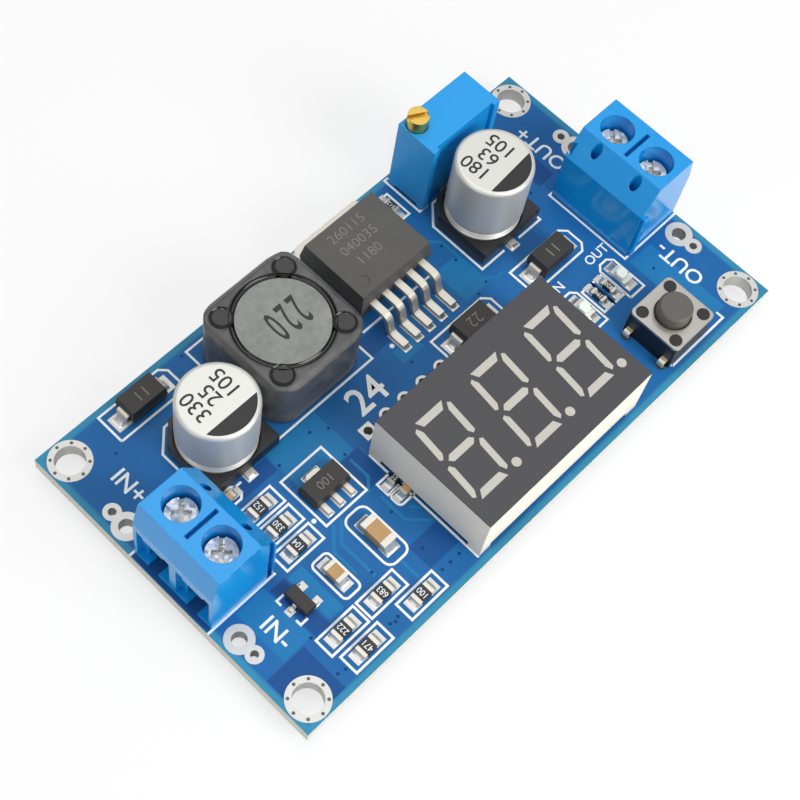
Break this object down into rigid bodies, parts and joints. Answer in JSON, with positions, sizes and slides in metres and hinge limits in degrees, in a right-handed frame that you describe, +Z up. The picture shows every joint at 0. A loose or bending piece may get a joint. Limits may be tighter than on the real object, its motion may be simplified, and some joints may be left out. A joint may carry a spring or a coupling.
{
  "type": "boost converter module",
  "caption": "Rectangular circuit board that steps a voltage up, with screw terminals at both ends, a square inductor, can capacitors, a trimmer, a digit display and a push button.",
  "frame": {"origin": "middle of the board, at the tips of the trimmed solder tails on which the module stands", "axes": "+X from the input end to the output end, +Y to the trimmer's side, +Z up from the board"},
  "size_m": [0.066, 0.036, 0.0143],
  "materials": {
    "board": "blue solder mask, glossy",
    "tinned_copper": "tinned copper, satin",
    "solder": "solder, bright",
    "terminal_plastic": "moulded blue plastic",
    "plated_screw": "zinc plated",
    "plated_cage": "nickel plated",
    "tinned_lead": "tinned, satin",
    "trimmer_plastic": "moulded blue plastic",
    "brass": "turned brass",
    "can_aluminium": "satin drawn aluminium",
    "black_plastic": "moulded black plastic",
    "ferrite_shell": "dark fired ferrite",
    "ferrite_core": "ground ferrite",
    "copper_wire": "enamelled copper",
    "chip_epoxy": "moulded epoxy",
    "diode_epoxy": "moulded epoxy",
    "resistor_coat": "coated ceramic",
    "ceramic": "fired ceramic",
    "lamp_base": "white base",
    "lamp_lens": "milky resin",
    "display_housing": "warm grey plastic",
    "display_face": "dark grey film",
    "display_segment": "milky resin",
    "display_substrate": "glass-fibre board",
    "switch_steel": "plated sheet steel",
    "button_plastic": "moulded dark plastic",
    "switch_lead": "silver-plated brass"
  },
  "bodies": {
    "board": {"circuit_board": "board", "solder_pads": "tinned_copper", "solder_joints": "solder", "input_terminal_housing": "terminal_plastic", "input_terminal_pins": "tinned_lead", "output_terminal_housing": "terminal_plastic", "output_terminal_pins": "tinned_lead", "trimmer_body": "trimmer_plastic", "trimmer_pins": "tinned_lead", "input_capacitor_can": "can_aluminium", "input_capacitor_base": "black_plastic", "input_capacitor_leads": "tinned_lead", "output_capacitor_can": "can_aluminium", "output_capacitor_base": "black_plastic", "output_capacitor_leads": "tinned_lead", "inductor_shell": "ferrite_shell", "inductor_core": "ferrite_core", "inductor_winding": "copper_wire", "inductor_terminals": "tinned_lead", "converter_chip_body": "chip_epoxy", "converter_chip_tab": "tinned_lead", "converter_chip_leads": "tinned_lead", "input_diode_body": "diode_epoxy", "input_diode_leads": "tinned_lead", "rectifier_diode_body": "diode_epoxy", "rectifier_diode_leads": "tinned_lead", "output_diode_body": "diode_epoxy", "output_diode_leads": "tinned_lead", "supply_regulator_body": "diode_epoxy", "supply_regulator_leads": "tinned_lead", "transistor_body": "diode_epoxy", "transistor_leads": "tinned_lead", "resistor_bodies": "resistor_coat", "resistor_ends": "tinned_lead", "ceramic_capacitor_bodies": "ceramic", "ceramic_capacitor_ends": "tinned_lead", "indicator_bases": "lamp_base", "indicator_lenses": "lamp_lens", "display_housing": "display_housing", "display_face": "display_face", "display_segments": "display_segment", "display_substrate": "display_substrate", "display_pins": "tinned_lead", "switch_base": "black_plastic", "switch_cover": "switch_steel", "switch_dome": "switch_steel", "switch_leads": "switch_lead", "controller_body": "chip_epoxy", "controller_leads": "tinned_lead"},
    "button": {"switch_button": "button_plastic"},
    "trimmer_adjuster": {"trimmer_screw": "brass"},
    "input_plus_screw": {"input_plus_screw": "plated_screw"},
    "input_plus_cage": {"input_plus_cage": "plated_cage"},
    "input_minus_screw": {"input_minus_screw": "plated_screw"},
    "input_minus_cage": {"input_minus_cage": "plated_cage"},
    "output_plus_screw": {"output_plus_screw": "plated_screw"},
    "output_plus_cage": {"output_plus_cage": "plated_cage"},
    "output_minus_screw": {"output_minus_screw": "plated_screw"},
    "output_minus_cage": {"output_minus_cage": "plated_cage"}
  },
  "joints": [
    {"name": "button_press", "type": "slide", "parent": "board", "child": "button", "axis": [0, 0, -1], "range_m": [0, 0.00025], "stiffness_N_per_m": 6000, "deforming": ["switch_dome"]},
    {"name": "trimmer_turn", "type": "hinge", "parent": "board", "child": "trimmer_adjuster", "pos_m": [0.01487, 0.01613, 0.0128], "axis": [0, 0, 1], "continuous": true},
    {"name": "input_plus_cage_rise", "type": "slide", "parent": "board", "child": "input_plus_cage", "axis": [0, 0, 1], "range_m": [0, 0.0022]},
    {"name": "input_plus_screw_turn", "type": "hinge", "parent": "board", "child": "input_plus_screw", "pos_m": [-0.029, 0.00239, 0.0108], "axis": [0, 0, -1], "range_deg": [0, 1584.5]},
    {"name": "input_minus_cage_rise", "type": "slide", "parent": "board", "child": "input_minus_cage", "axis": [0, 0, 1], "range_m": [0, 0.0022]},
    {"name": "input_minus_screw_turn", "type": "hinge", "parent": "board", "child": "input_minus_screw", "pos_m": [-0.029, -0.00269, 0.0108], "axis": [0, 0, -1], "range_deg": [0, 1584.5]},
    {"name": "output_plus_cage_rise", "type": "slide", "parent": "board", "child": "output_plus_cage", "axis": [0, 0, 1], "range_m": [0, 0.0022]},
    {"name": "output_plus_screw_turn", "type": "hinge", "parent": "board", "child": "output_plus_screw", "pos_m": [0.0294, 0.00239, 0.0108], "axis": [0, 0, -1], "range_deg": [0, 1584.5]},
    {"name": "output_minus_cage_rise", "type": "slide", "parent": "board", "child": "output_minus_cage", "axis": [0, 0, 1], "range_m": [0, 0.0022]},
    {"name": "output_minus_screw_turn", "type": "hinge", "parent": "board", "child": "output_minus_screw", "pos_m": [0.0294, -0.00269, 0.0108], "axis": [0, 0, -1], "range_deg": [0, 1584.5]}
  ],
  "couplings": [
    {"joint": "input_plus_screw_turn", "follows": "input_plus_cage_rise", "rad_per_m": 12566},
    {"joint": "input_minus_screw_turn", "follows": "input_minus_cage_rise", "rad_per_m": 12566},
    {"joint": "output_plus_screw_turn", "follows": "output_plus_cage_rise", "rad_per_m": 12566},
    {"joint": "output_minus_screw_turn", "follows": "output_minus_cage_rise", "rad_per_m": 12566}
  ]
}
